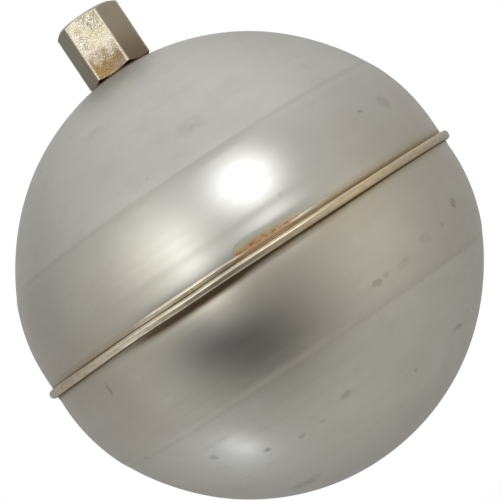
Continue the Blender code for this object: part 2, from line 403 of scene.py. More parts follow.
def spud():
    rows = Profile(spud_angles())
    side = hexagon(rows.angles)
    slope = math.tan(math.radians(CHAMFER_ANGLE))

    def side_ring(height, drop):
        """A ring of the flank, cut back to the chamfer near either end."""
        rows.add(soft_min(side, SPUD_FACE_RADIUS + drop / slope, 0.60), height)

    threaded_bore(rows)
    for radius in (5.9, 6.8, 7.8, 8.7, 9.3):
        rows.add(radius, 0.0)
    rows.add(9.62, -0.01)
    for drop in CHAMFER_STEPS:
        side_ring(-drop, drop)
    for depth in np.arange(3.0, SPUD_LENGTH - 2.4, 0.8):
        rows.add(side, -depth)
    for drop in reversed(CHAMFER_STEPS):
        side_ring(drop - SPUD_LENGTH, drop)
    # the foot, the stub through the shell and its spread end
    stub = ((PILOT_RADIUS, 0.0), (PILOT_RADIUS, STUB_LENGTH))
    stake = ((STAKE_RADIUS, STAKE_START), (STAKE_RADIUS - 0.5, STAKE_END), (0.0, STAKE_END))
    for radius, drop in ((9.5, 0.0), (8.2, 0.0), *stub, *stake):
        rows.add(radius, -SPUD_LENGTH - drop)
    points = rows.points()
    flank = (np.array(rows.radius) > 9.7) & (np.array(rows.height) > 0.1 - SPUD_LENGTH)
    shape = (ripple(points, 2.2, 0.05, 7) + ripple(points, 0.8, 0.025, 8)) * flank
    points = push_out(points, shape, axes=(1.0, 1.0, 0.0))
    return turned_object("float_hex_spud", points, poles=(0, len(points) - 1), closed=False)


def spud_filler():
    """Filler metal drawn in under the foot of the spud."""
    rows = Profile(np.linspace(0.0, TAU, 240, endpoint=False))
    swell = 1.0 + 0.10 * np.sin(5 * rows.angles) + 0.06 * np.sin(11 * rows.angles + 1.0)
    crown = ((FILLET_INNER, 0.05), (11.0, 0.22), (11.5, 0.24), (12.0, 0.10))
    toe = ((12.6, -0.06), (13.3, -0.19), (13.6, -0.30))
    for r, z in (*crown, *toe):
        rows.add(FILLET_INNER + (r - FILLET_INNER) * swell, z - SPUD_LENGTH)
    for r in (SEAT_RADIUS, 11.6, FILLET_INNER):
        rows.add(r, -FILLET_UNDER - SPUD_LENGTH)
    points = rows.points()
    # the ring's outer part follows the seat's edge downwards
    points[..., 2] -= FILLET_FALL * np.maximum(np.array(rows.radius) - SEAT_RADIUS, 0.0)
    return turned_object("float_spud_filler", points)


# ---------------------------------------------------------------- node helpers
class Tree:
    """Short names for building a node tree."""

    def __init__(self, tree):
        self.tree = tree

    def new(self, kind, **settings):
        node = self.tree.nodes.new(kind)
        for key, value in settings.items():
            setattr(node, key, value)
        return node

    def put(self, socket, value):
        if isinstance(value, bpy.types.NodeSocket):
            self.tree.links.new(value, socket)
        elif isinstance(value, tuple) and len(value) == 3 and socket.type == "RGBA":
            socket.default_value = (*value, 1.0)
        else:
            socket.default_value = value

    def math(self, operation, a, b=0.0, c=0.0, clamp=False):
        node = self.new("ShaderNodeMath", operation=operation, use_clamp=clamp)
        for socket, value in zip(node.inputs, (a, b, c)):
            self.put(socket, value)
        return node.outputs[0]

    def times(self, first, *others):
        for other in others:
            first = self.math("MULTIPLY", first, other)
        return first

    def plus(self, a, b):
        return self.math("ADD", a, b)

    def minus(self, a, b):
        return self.math("SUBTRACT", a, b)

    def size(self, a):
        return self.math("ABSOLUTE", a)

    def vector(self, operation, a, b=None, scale=None):
        node = self.new("ShaderNodeVectorMath", operation=operation)
        self.put(node.inputs[0], a)
        if b is not None:
            self.put(node.inputs[1], b)
        if scale is not None:
            node.inputs["Scale"].default_value = scale
        return node.outputs["Value" if operation in ("DOT_PRODUCT", "LENGTH") else "Vector"]

    def step(self, value, low, high, out_low=0.0, out_high=1.0):
        node = self.new("ShaderNodeMapRange", interpolation_type="SMOOTHSTEP")
        names = ("Value", "From Min", "From Max", "To Min", "To Max")
        for name, v in zip(names, (value, low, high, out_low, out_high)):
            self.put(node.inputs[name], v)
        return node.outputs[0]

    def mix(self, factor, a, b):
        node = self.new("ShaderNodeMix", data_type="RGBA")
        for key, value in (("Factor", factor), (6, a), (7, b)):
            self.put(node.inputs[key], value)
        return node.outputs[2]

    def over(self, colour, layer, *amounts):
        """Lays a colour over another, by the product of the amounts."""
        return self.mix(self.times(*amounts), colour, layer)


class Metal(Tree):
    """A metal's material, with its textures in the object's own frame."""

    def __init__(self, name):
        self.material = bpy.data.materials.new(name)
        self.material.use_nodes = True
        super().__init__(self.material.node_tree)
        self.tree.nodes.clear()
        self.shader = self.new("ShaderNodeBsdfPrincipled")
        self.put(self.new("ShaderNodeOutputMaterial").inputs["Surface"], self.shader.outputs[0])
        self.shader.inputs["Metallic"].default_value = 1.0
        self.where = self.new("ShaderNodeTexCoord").outputs["Object"]

    def split(self, vector):
        node = self.new("ShaderNodeSeparateXYZ")
        self.put(node.inputs[0], vector)
        return node.outputs

    def from_axis(self, vector):
        """Distance from the axis, in millimetres."""
        return self.times(self.vector("LENGTH", self.vector("MULTIPLY", vector, (1.0, 1.0, 0.0))), 1000.0)

    def side(self):
        """Degrees round the axis from the side that faces the camera at rest."""
        x, y, _ = self.split(self.where)
        c, s = math.cos(FRONT), math.sin(FRONT)
        ahead = self.plus(self.times(x, c), self.times(y, s))
        across = self.plus(self.times(x, -s), self.times(y, c))
        return self.times(self.math("ARCTAN2", across, ahead), 180.0 / math.pi)

    def by_side(self, side, values, top=1.0):
        """A value that follows values, given by degrees round from the front. None is above top."""
        first, last = min(values), max(values)
        share = self.math("DIVIDE", self.minus(side, float(first)), float(last - first), clamp=True)
        node = self.new("ShaderNodeFloatCurve")
        self.put(node.inputs["Value"], share)
        line = node.mapping.curves[0]
        while len(line.points) < len(values):
            line.points.new(0.5, 0.5)
        for point, (around, value) in zip(line.points, values.items()):
            point.location = ((around - first) / (last - first), value / top)
        node.mapping.update()
        return self.times(node.outputs[0], top)

    def colours(self, value, stops):
        node = self.new("ShaderNodeValToRGB")
        self.put(node.inputs[0], value)
        elements = node.color_ramp.elements
        while len(elements) < len(stops):
            elements.new(0.5)
        for element, (position, colour) in zip(elements, stops.items()):
            element.position = position
            element.color = (*colour, 1.0)
        return node.outputs[0]

    def colours_by_side(self, side, stops):
        """A colour that follows stops, given by degrees round from the front."""
        share = self.math("MULTIPLY_ADD", side, 1.0 / 360.0, 0.5)
        return self.colours(share, {around / 360.0 + 0.5: colour for around, colour in stops.items()})

    def stretched(self, scale, shift=(0.0, 0.0, 0.0)):
        node = self.new("ShaderNodeMapping")
        self.put(node.inputs["Vector"], self.where)
        node.inputs["Scale"].default_value = scale
        node.inputs["Location"].default_value = shift
        return node.outputs[0]

    def noise(self, scale, detail=2.0, roughness=0.5, distortion=0.0, place=None, output=0):
        node = self.new("ShaderNodeTexNoise")
        self.put(node.inputs["Vector"], self.where if place is None else place)
        names = ("Scale", "Detail", "Roughness", "Distortion")
        for name, value in zip(names, (scale, detail, roughness, distortion)):
            node.inputs[name].default_value = value
        return node.outputs[output]

    def wander(self, scale, size):
        """Soft noise from -size/2 to size/2."""
        return self.times(self.minus(self.noise(scale, 3.0, 0.6), 0.5), size)

    def blend(self, factor, a, b):
        node = self.new("ShaderNodeMix", data_type="FLOAT")
        for key, value in (("Factor", factor), (2, a), (3, b)):
            self.put(node.inputs[key], value)
        return node.outputs[0]

    def bump(self, height, strength, distance, normal=None):
        node = self.new("ShaderNodeBump")
        self.put(node.inputs["Height"], height)
        node.inputs["Strength"].default_value = strength
        node.inputs["Distance"].default_value = distance
        if normal is not None:
            self.put(node.inputs["Normal"], normal)
        return node.outputs[0]

    def finish(self, colour, roughness, normal):
        self.put(self.shader.inputs["Base Color"], colour)
        self.put(self.shader.inputs["Roughness"], roughness)
        self.put(self.shader.inputs["Normal"], normal)
        return self.material


# ---------------------------------------------------------------- steel of the shells
# Marks: degrees round from the front, latitude, half width and half height in degrees, and darkness.
MARKS = (
    (56.5, 13.7, 2.0, 1.9, 0.22),
    (55.4, 14.8, 0.9, 0.7, 0.35),
    (46.2, 14.5, 0.8, 0.5, 0.45),
    (57.8, -14.5, 1.2, 1.0, 0.60),
    (-47.8, -6.3, 0.5, 1.3, 0.50),
    (23.0, -20.0, 1.3, 0.6, 0.42),
    (26.0, -19.4, 1.0, 0.5, 0.22),
    (32.0, -19.5, 1.9, 0.9, 0.16),
    (41.5, -17.6, 1.8, 1.0, 0.18),
    (-41.0, -34.3, 1.0, 0.9, 0.34),
    (-27.5, -41.0, 0.9, 0.6, 0.52),
    (-15.5, -43.0, 0.9, 0.5, 0.32),
    (-8.0, -42.4, 0.8, 0.6, 0.30),
    (2.5, -39.7, 1.1, 0.8, 0.25),
    (51.0, -43.2, 2.6, 0.6, 0.35),
    (7.3, 34.4, 3.4, 2.0, 0.15),
    (8.2, 34.0, 1.2, 0.7, 0.24),
    (-22.0, 51.0, 2.4, 1.2, 0.10),
    (-38.5, -61.0, 4.5, 1.6, 0.28),
    (118.0, 22.0, 2.4, 1.2, 0.30),
    (150.0, -17.0, 1.3, 1.0, 0.40),
    (-158.0, 9.0, 0.8, 0.6, 0.45),
    (-104.0, -38.0, 3.2, 1.6, 0.25),
    (175.0, 47.0, 2.8, 1.8, 0.22),
)


class Shell(Metal):
    """The shells' steel, with sockets for where a point lies and for the patterns that its layers share."""

    def __init__(self, name):
        super().__init__(name)
        self.from_centre = self.vector("SUBTRACT", self.where, (0.0, 0.0, BALL_CENTRE * MM))
        self.aim = self.vector("NORMALIZE", self.from_centre)
        x, y, z = self.split(self.from_centre)
        self.x, self.y, self.height = (self.times(v, 1000.0) for v in (x, y, z))  # mm, height above the seam
        self.steep = self.size(self.height)
        self.around = self.side()
        self.upper = self.step(self.height, -0.2, 0.2)
        self.cloud = self.noise(26.0, 4.0, 0.55)
        self.jitter = self.wander(420.0, 1.0)
        # fine lines round the axis
        self.band = self.noise(1.0, 2.0, 0.6, place=self.stretched((12, 12, 420)))
        self.cap = self.step(self.plus(self.steep, self.wander(60.0, 0.5)), BELT_EDGE - 0.5, BELT_EDGE + 0.5)


def drawn_sheet(n):
    """Rolled belt beside the seam, matte spun caps, turned lines and faint clouds."""
    blotch = n.noise(95.0, 3.0, 0.6, place=n.stretched((1, 1, 1.6)))
    colour = n.mix(n.cap, (0.625, 0.610, 0.583), (0.668, 0.662, 0.646))
    colour = n.over(colour, (0.585, 0.567, 0.536), n.step(n.cloud, 0.32, 0.72, 0.0, 0.55))
    colour = n.over(colour, (0.560, 0.547, 0.522), n.step(blotch, 0.50, 0.78, 0.0, 0.40))
    colour = n.over(colour, (0.700, 0.692, 0.670), n.step(blotch, 0.42, 0.26, 0.0, 0.30))
    colour = n.over(colour, (0.54, 0.525, 0.495), n.step(n.band, 0.45, 0.72, 0.0, 0.14))
    below_edge = n.step(n.steep, BELT_EDGE - 1.6, BELT_EDGE - 0.2)
    above_edge = n.step(n.steep, BELT_EDGE + 0.9, BELT_EDGE - 0.1)
    colour = n.over(colour, (0.45, 0.43, 0.40), below_edge, above_edge, 0.22)

    # faint rosy and olive clouds in the belt
    hue = n.noise(34.0, 2.0, 0.5, place=n.stretched((1, 1, 1.3), (0.7, 0.2, 0.4)))
    belt = n.step(n.steep, 36.0, 10.0, 0.25, 1.0)
    colour = n.over(colour, (0.600, 0.535, 0.500), belt, n.step(hue, 0.52, 0.70, 0.0, 0.45))
    colour = n.over(colour, (0.575, 0.580, 0.520), belt, n.step(hue, 0.48, 0.30, 0.0, 0.45))

    # polished neutral where the belt was rubbed clean
    rubbed = n.by_side(n.around, {-180: 0.0, -26: 0.0, -8: 0.8, 20: 0.8, 36: 0.2, 70: 0.0, 180: 0.0})
    return n.over(colour, (0.620, 0.622, 0.618), rubbed, n.upper, n.step(n.steep, 34.0, 26.0))


def seam_straw(n, colour):
    """Straw heat tint that fades away from the seam."""
    above = n.by_side(
        n.around,
        {-180: 1.0, -80: 1.1, -50: 1.35, -30: 0.9, -14: 0.25, 14: 0.20, 26: 0.8, 60: 1.0, 180: 1.0},
        top=1.5,
    )
    below = n.by_side(
        n.around,
        {-180: 1.0, -60: 1.0, -20: 0.8, 0: 1.0, 14: 1.6, 30: 1.9, 50: 1.95, 70: 1.2, 180: 1.0},
        top=2.0,
    )
    below = n.blend(n.step(n.steep, 9.0, 3.0), 1.0, below)
    fade = n.times(n.step(n.steep, 15.0, 2.0), n.step(n.cloud, 0.25, 0.7, 0.25, 0.75))
    return n.over(colour, (0.590, 0.525, 0.415), fade, n.blend(n.upper, below, above), 0.55)


def spud_heat_and_shade(n, colour):
    """A brownish heat tint and smudges round the spud, with painted shade at its base, darkest in front of it
    where a painted shadow and dark reflection of the spud lie. Also gives how dull the steel is.
    """
    reach = n.from_axis(n.from_centre)
    top, shoulder = n.step(n.height, 40.0, 60.0), n.step(n.height, 30.0, 50.0)
    # Darker round the spud's base: partly heat tint, partly painted shade where the spud meets the shell.
    haze_and_shade = n.step(n.plus(reach, n.wander(150.0, 5.0)), 24.0, 12.0)
    colour = n.over(colour, (0.260, 0.246, 0.224), haze_and_shade, top, 0.70)
    smudge = n.step(n.noise(240.0, 4.0, 0.65), 0.46, 0.62)
    colour = n.over(colour, (0.150, 0.145, 0.120), smudge, n.step(reach, 18.5, 14.0), top, 0.60)
    # A painted shadow and dark reflection of the spud on the shell in front of it.
    ahead = n.minus(n.wander(120.0, 4.0), n.y)
    shade = n.times(n.step(ahead, 46.0, 22.0), n.step(ahead, 6.0, 12.0))
    colour = n.over(colour, (0.240, 0.230, 0.214), shade, n.step(n.size(n.x), 19.0, 2.0), shoulder, 0.70)
    dull = n.step(n.plus(reach, n.wander(90.0, 8.0)), 42.0, 27.0)
    return colour, n.times(dull, shoulder)


def outward(side, latitude):
    """Direction from the ball's centre."""
    a, b = math.radians(side) + FRONT, math.radians(latitude)
    return Vector((math.cos(a) * math.cos(b), math.sin(a) * math.cos(b), math.sin(b)))


def marks(n):
    """Marks, scuffs and specks, as darkness from 0 to 1."""
    cloudy = n.vector("SUBTRACT", n.noise(330.0, 3.0, output=1), (0.5, 0.5, 0.5))
    ragged = n.vector("ADD", n.aim, n.vector("MULTIPLY", cloudy, (0.034,) * 3))
    dark = 0.0
    for around, latitude, half_width, half_height, strength in MARKS:
        out = outward(around, latitude)
        east = outward(around + 90.0, 0.0)
        north = out.cross(east)
        u = n.vector("DOT_PRODUCT", ragged, tuple(east / math.sin(math.radians(half_width))))
        v = n.vector("DOT_PRODUCT", ragged, tuple(north / math.sin(math.radians(half_height))))
        off = n.plus(n.times(u, u), n.times(v, v))
        off = n.plus(off, n.step(n.vector("DOT_PRODUCT", n.aim, tuple(out)), 0.90, 0.80, 0.0, 9.0))
        dark = n.math("MAXIMUM", dark, n.step(off, 2.2, 0.0, 0.0, strength))
    dark = n.times(dark, n.step(n.noise(420.0), 0.30, 0.62, 0.45, 1.0))
    specks = n.new("ShaderNodeTexVoronoi")
    n.put(specks.inputs["Vector"], n.where)
    specks.inputs["Scale"].default_value = 95.0
    rare = n.step(n.split(specks.outputs["Color"])[0], 0.80, 0.84)
    return n.math("MAXIMUM", dark, n.times(n.step(specks.outputs["Distance"], 0.10, 0.03), rare, 0.30))


def seam_stain_and_shade(n, colour):
    """Soot and stain in the flare below the fold, with painted shade that deepens them into a dark band under
    the fold, and a thin stain above it. Also gives where the darkest part of that band lies.
    """
    below = n.minus(n.times(n.height, -1.0), n.times(n.jitter, 0.45))
    reach = n.by_side(
        n.around,
        {
            -180: 2.1, -120: 2.0, -60: 2.1, -44: 2.1, -30: 2.5, -15: 3.0, -5: 2.9,
            0: 2.3, 8: 2.1, 20: 2.25, 30: 2.1, 100: 2.1, 180: 2.1,
        },
        top=4.0,
    )
    past = n.minus(below, reach)
    # The band under the fold is partly stain and partly painted shade where the fold overhangs; it is darkest
    # in the crevice.
    under = n.step(n.height, -1.0, -1.6)
    soot_and_shade = n.times(n.minus(1.0, n.step(past, -0.45, 0.55)), under)
    stain_and_shade_band = n.times(n.minus(1.0, n.step(past, 0.0, 1.9)), under)
    # how strong that stain and painted shade are, round the seam
    soot_and_shade_by_side = n.by_side(
        n.around,
        {-180: 0.6, -60: 0.5, -44: 0.35, -32: 0.50, -23: 0.92, 32: 0.88, 44: 0.50, 60: 0.45, 180: 0.6},
    )
    rust = n.by_side(
        n.around,
        {-180: 0.2, -90: 0.35, -20: 0.1, -4: 0.6, 6: 1.0, 13: 0.8, 20: 0.3, 60: 0.35, 120: 0.2, 180: 0.2},
    )
    stain = n.over((0.36, 0.31, 0.23), (0.42, 0.27, 0.17), rust, n.step(n.jitter, -0.25, 0.35))
    # stain with painted shade over the flare, then the darkest painted shade in the crevice under the fold
    colour = n.over(colour, stain, stain_and_shade_band, soot_and_shade_by_side, 0.80)
    colour = n.over(colour, (0.122, 0.086, 0.050), soot_and_shade, soot_and_shade_by_side)
    rim = n.step(n.plus(n.height, n.times(n.jitter, 0.5)), 4.3, 2.7)
    thin = n.by_side(
        n.around,
        {
            -180: 0.6, -60: 0.55, -34: 0.50, -24: 0.12, -8: 0.05,
            14: 0.05, 22: 0.40, 32: 0.42, 43: 0.25, 60: 0.3, 180: 0.6,
        },
    )
    return n.over(colour, (0.42, 0.35, 0.26), rim, n.upper, thin), soot_and_shade


def copper_film(n, colour):
    """Copper that wetted the upper shell, with heat colours round it. Also gives where it lies."""
    start = 1.5  # mm above the seam
    # how high it reaches, in mm above the seam
    wet = n.by_side(
        n.around,
        {
            -2.6: 0.5, -1.7: 4.1, -0.4: 6.0, 1.9: 6.7, 4.5: 6.6, 7.6: 6.1, 11.1: 5.6, 13.4: 5.4,
            15.2: 4.5, 17.4: 3.1, 19.2: 2.9, 21.6: 3.7, 23.7: 2.5, 27.3: 1.8, 31.0: 0.5,
        },
        top=8.0,
    )
    height = n.plus(n.height, n.times(n.jitter, 0.22))
    span = n.math("DIVIDE", n.minus(height, start), n.math("MAXIMUM", n.minus(wet, start), 0.01))
    between = n.times(n.step(n.around, -3.0, -1.6), n.step(n.around, 31.0, 27.0))
    inside = n.times(n.step(span, 1.05, 0.93), n.upper, between)
    ring = n.plus(span, n.wander(430.0, 0.46))
    film = n.colours(ring, {
        0.00: (0.82, 0.510, 0.280),
        0.42: (0.82, 0.520, 0.290),
        0.53: (0.76, 0.550, 0.320),
        0.60: (0.69, 0.580, 0.360),
        0.66: (0.67, 0.600, 0.430),
        0.72: (0.60, 0.585, 0.440),
        0.79: (0.54, 0.555, 0.460),
        0.86: (0.485, 0.510, 0.470),
        0.96: (0.440, 0.500, 0.485),
        1.00: (0.440, 0.490, 0.480),
    })
    worn = n.by_side(n.around, {-3: 0.0, 4: 0.05, 8: 0.30, 14: 0.50, 31: 0.50})
    film = n.over(film, (0.74, 0.680, 0.600), worn)
    grain = n.noise(700.0, 3.0, 0.65, place=n.stretched((1, 1, 1.5)))
    speckled = n.step(grain, 0.46, 0.60, 0.0, 0.80)
    film = n.over(film, (0.50, 0.250, 0.120), n.step(ring, 0.62, 0.42), speckled)
    return n.over(colour, film, inside, 0.93), inside


def folded_bead(n, colour):
    """The fold: pale and polished left of the front, then tan. Also gives where it is and its drawn lines."""
    lift = n.by_side(n.around, {around: 0.5 + float(hem_lift(around)) for around in range(-180, 181, 10)})
    height = n.minus(n.height, n.minus(lift, 0.5))
    from_fold = n.size(height)
    hem = n.step(from_fold, 1.62, 1.36)
    tan = n.colours_by_side(n.around, {
        -180.0: (0.62, 0.545, 0.430),
        -90.0: (0.68, 0.600, 0.480),
        -50.4: (0.74, 0.660, 0.540),
        -32.4: (0.97, 0.900, 0.770),
        -18.0: (0.86, 0.790, 0.680),
        -5.4: (0.66, 0.610, 0.520),
        1.8: (0.70, 0.640, 0.530),
        10.8: (0.68, 0.590, 0.460),
        21.6: (0.66, 0.570, 0.410),
        30.6: (0.72, 0.610, 0.430),
        43.2: (0.66, 0.560, 0.405),
        90.0: (0.62, 0.545, 0.440),
        180.0: (0.62, 0.545, 0.430),
    })
    mottle = n.noise(300.0, 3.0, 0.6, place=n.stretched((1, 1, 2.5)))
    drawn = n.noise(1.0, 3.0, 0.65, place=n.stretched((45, 45, 1700)))
    tan = n.over(tan, (0.50, 0.41, 0.28), n.step(mottle, 0.42, 0.70, 0.0, 0.55))
    tan = n.over(tan, (0.40, 0.335, 0.240), n.step(drawn, 0.50, 0.72, 0.0, 0.45))
    tan = n.over(tan, (0.97, 0.910, 0.800), n.step(drawn, 0.46, 0.26, 0.0, 0.45))
    # Left of the front the fold darkens towards its upper edge: partly stain, partly painted shade along the
    # crevice above it.
    shoulder = n.by_side(
        n.around,
        {-180: 0.10, -75: 0.30, -50: 0.34, -35: 0.34, -27: 0.22, -20: 0.0, 90: 0.0, 180: 0.10},
    )
    tan = n.over(tan, (0.30, 0.245, 0.160), n.step(height, 0.30, 1.05), shoulder)
    colour = n.mix(hem, colour, tan)
    # dirt and painted shade in the crevices above and below the fold
    ragged = n.plus(from_fold, n.wander(1500.0, 0.45))
    crevice = n.step(ragged, n.blend(n.upper, 1.02, 1.24), n.blend(n.upper, 1.42, 1.48))
    crevice = n.times(crevice, n.step(from_fold, 1.9, 1.6), n.blend(n.upper, 0.66, 0.42))
    colour = n.mix(crevice, colour, (0.27, 0.205, 0.125))
    return colour, hem, drawn


def shell_steel(name):
    n = Shell(name)
    colour = seam_straw(n, drawn_sheet(n))
    colour, dull = spud_heat_and_shade(n, colour)
    dark = marks(n)
    colour = n.mix(dark, colour, (0.20, 0.165, 0.125))
    colour, soot_and_shade = seam_stain_and_shade(n, colour)
    colour, film = copper_film(n, colour)
    colour, hem, drawn = folded_bead(n, colour)

    rough = n.blend(n.cap, 0.225, 0.255)
    rough = n.plus(rough, n.step(n.cloud, 0.3, 0.75, -0.02, 0.045))
    rough = n.plus(rough, n.step(n.band, 0.4, 0.75, -0.015, 0.04))
    rough = n.plus(rough, n.times(dark, 0.25))
    rough = n.blend(dull, rough, 0.66)
    rough = n.blend(hem, rough, 0.26)
    rough = n.plus(rough, n.times(soot_and_shade, 0.18))
    rough = n.plus(rough, n.times(film, 0.04))
    hair = n.noise(1.0, place=n.stretched((20, 20, 1500)))
    normal = n.bump(n.band, 0.08, 0.00008)
    normal = n.bump(hair, 0.04, 0.00003, normal)
    normal = n.bump(n.noise(2400.0), 0.12, 0.00004, normal)
    normal = n.bump(n.times(hem, drawn), 0.30, 0.00012, normal)
    return n.finish(colour, rough, normal)


# ---------------------------------------------------------------- copper filler metal
def filler_metal(name):
    n = Metal(name)
    side = n.side()
    height = n.times(n.split(n.vector("SUBTRACT", n.where, (0.0, 0.0, BALL_CENTRE * MM)))[2], 1000.0)
    colour = n.colours_by_side(side, {
        -180.0: (0.46, 0.390, 0.290),
        -32.4: (0.50, 0.430, 0.330),
        -25.2: (0.88, 0.800, 0.670),
        -11.5: (0.95, 0.890, 0.750),
        -5.0: (0.66, 0.640, 0.600),
        -1.4: (0.58, 0.470, 0.340),
        2.9: (0.62, 0.400, 0.240),
        12.6: (0.62, 0.420, 0.270),
        16.6: (0.62, 0.570, 0.450),
        20.2: (0.58, 0.490, 0.360),
        24.5: (0.54, 0.410, 0.265),
        43.2: (0.50, 0.410, 0.290),
        180.0: (0.46, 0.390, 0.290),
    })
    grain = n.noise(620.0, 4.0, 0.6, place=n.stretched((1, 1, 1.8)))
    colour = n.over(colour, (0.38, 0.25, 0.15), n.step(grain, 0.46, 0.74, 0.0, 0.45))
    thin = n.by_side(side, {-180: 0.6, -34: 0.6, -26: 0.0, 20: 0.0, 26: 0.6, 180: 0.6})
    colour = n.over(colour, (0.60, 0.560, 0.480), n.step(height, 2.0, 3.0), thin)
    # Painted shade along the filler's lower edge, in the crevice against the fold.
    crevice_shade = n.by_side(
        side,
        {-180: 0.60, -10: 0.65, -3: 0.85, 12: 0.90, 16: 0.70, 28: 0.75, 40: 0.55, 180: 0.55},
    )
    colour = n.over(colour, (0.24, 0.175, 0.105), n.step(height, 2.28, 1.83), crevice_shade)
    # the ring under the spud is scaled and dark: partly scale, partly painted shade under the spud
    at_spud = n.step(height, 20.0, 40.0)
    foot = n.mix(n.step(grain, 0.35, 0.65), (0.100, 0.052, 0.030), (0.190, 0.105, 0.060))
    colour = n.mix(at_spud, colour, foot)
    rough = n.blend(at_spud, n.step(grain, 0.3, 0.8, 0.24, 0.40), 0.45)
    return n.finish(colour, rough, n.bump(grain, 0.25, 0.00010))


# ---------------------------------------------------------------- steel of the spud
def browned_bar(n, x, along, cloud):
    """Heat-browned bar, olive to tan; darker towards the shell, most on the +X faces, partly browning and
    partly painted shade.
    """
    colour = n.mix(n.step(cloud, 0.35, 0.68), (0.43, 0.380, 0.305), (0.47, 0.395, 0.310))
    colour = n.mix(n.step(x, -4.0, 6.0), (0.400, 0.370, 0.285), colour)
    # darker towards the shell, most on the +X faces: heat browning with painted shade
    return n.over(colour, (0.255, 0.185, 0.130), n.step(along, 0.30, 0.95), n.step(x, -9.0, 7.0, 0.25, 0.95))


def gripped_flat(n, x, along, cloud, grain, sparkle):
    """The pair of flats that a wrench has gripped: bright, pitted and blotched with colour."""
    patch = n.noise(230.0, 2.0, 0.5, place=n.stretched((1, 1, 1), (0.3, 0.1, 0.2)))
    colour = n.mix(n.step(cloud, 0.36, 0.62), (1.00, 0.960, 0.870), (0.97, 0.885, 0.730))
    colour = n.over(colour, (0.72, 0.640, 0.480), n.step(x, -1.0, 5.0), n.step(along, 0.45, 0.10, 0.0, 0.6))
    green = n.times(n.step(patch, 0.44, 0.60, 0.0, 0.85), n.step(along, 0.50, 0.20))
    colour = n.mix(green, colour, (0.74, 0.690, 0.420))
    gold = n.step(n.plus(along, n.times(n.minus(cloud, 0.5), 0.7)), 0.49, 0.77)
    colour = n.mix(gold, colour, (0.41, 0.270, 0.120))
    colour = n.over(colour, (0.38, 0.295, 0.240), n.step(along, 0.70, 0.92), n.step(x, -2.0, 4.0), 0.85)
    worm = n.step(n.size(n.minus(grain, 0.5)), 0.075, 0.015)
    pitted = n.step(n.plus(patch, n.step(x, 3.0, -4.0, 0.0, 0.15)), 0.62, 0.44, 0.20, 0.95)
    colour = n.over(colour, (0.27, 0.190, 0.130), worm, pitted)
    glint = n.times(n.step(sparkle, 0.56, 0.72, 0.0, 0.6), n.step(gold, 1.0, 0.0, 0.35, 1.0))
    return n.mix(glint, colour, (0.98, 0.94, 0.86))


def spud_steel(name):
    n = Metal(name)
    x, y, z = n.split(n.vector("SCALE", n.where, scale=1000.0))
    along = n.times(z, -1.0 / SPUD_LENGTH)  # 0 at the open end, 1 at the shell
    cloud = n.noise(130.0, 3.0, 0.55)
    grain = n.noise(900.0, 2.0, 0.55, 1.8)
    sparkle = n.noise(3400.0, 2.0, 0.6)
    flat = n.step(n.size(y), SPUD_APOTHEM - 0.45, SPUD_APOTHEM - 0.15)
    colour = n.mix(flat, browned_bar(n, x, along, cloud), gripped_flat(n, x, along, cloud, grain, sparkle))

    # lighter corners, partly rubbed and partly painted highlight; a painted highlight on the chamfer at the
    # open end; the browned foot; painted highlights on the flats' rims
    corner = n.times(n.step(n.from_axis(n.where), 11.35, 11.70), n.step(cloud, 0.30, 0.62, 0.25, 0.9))
    colour = n.over(colour, (0.72, 0.65, 0.53), corner, 0.55)
    # painted highlight on the chamfer at the open end
    colour = n.over(colour, (0.60, 0.565, 0.50), n.step(along, 0.075, 0.0), 0.50)
    colour = n.over(colour, (0.20, 0.120, 0.080), n.step(along, 0.93, 1.0), 0.75)
    # painted highlights along the flats' edges and near their foot
    rim = n.math("MAXIMUM", n.step(n.size(x), 5.15, 5.65), n.step(along, 0.93, 0.97, 0.0, 0.25))
    colour = n.over(colour, (0.90, 0.84, 0.72), flat, rim, 0.8)

    rough = n.blend(flat, n.step(cloud, 0.3, 0.7, 0.34, 0.42), n.step(grain, 0.3, 0.7, 0.22, 0.36))
    relief = n.blend(flat, n.times(n.noise(900.0, 3.0, 0.6), 0.35), grain)
    normal = n.bump(relief, 0.80, 0.00016)
    normal = n.bump(sparkle, 0.35, 0.00005, normal)
    return n.finish(colour, rough, normal)


# ---------------------------------------------------------------- pieces
steel = shell_steel("shell_steel")
braze = filler_metal("filler_metal")
bar = spud_steel("spud_steel")
for piece, material, node, slot in (
    (lower_shell(), steel, "lower_shell", "shell_steel"),
    (upper_shell(), steel, "upper_shell", "shell_steel"),
    (seam_filler(), braze, "seam_braze", "filler_metal"),
    (spud(), bar, "hex_spud", "spud_steel"),
    (spud_filler(), braze, "spud_braze", "filler_metal"),
):
    piece.data.materials.append(material)
    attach(piece, "root")
    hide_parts(node)
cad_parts["backing_washer"].data.materials.clear()
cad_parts["backing_washer"].data.materials.append(bar)


# ---------------------------------------------------------------- floor, light and camera
def camera_axes():
    """Right, up and towards-the-viewer directions of the picture."""
    a, e, r = (math.radians(v) for v in (CAMERA_AZIMUTH, CAMERA_ELEVATION, CAMERA_ROLL))
    back = Vector((math.sin(a) * math.cos(e), -math.cos(a) * math.cos(e), math.sin(e)))
    right = Vector((math.cos(a), math.sin(a), 0.0))
    turn = Matrix.Rotation(-r, 3, back)
    return turn @ right, turn @ back.cross(right), back


RIGHT, UP, BACK = camera_axes()

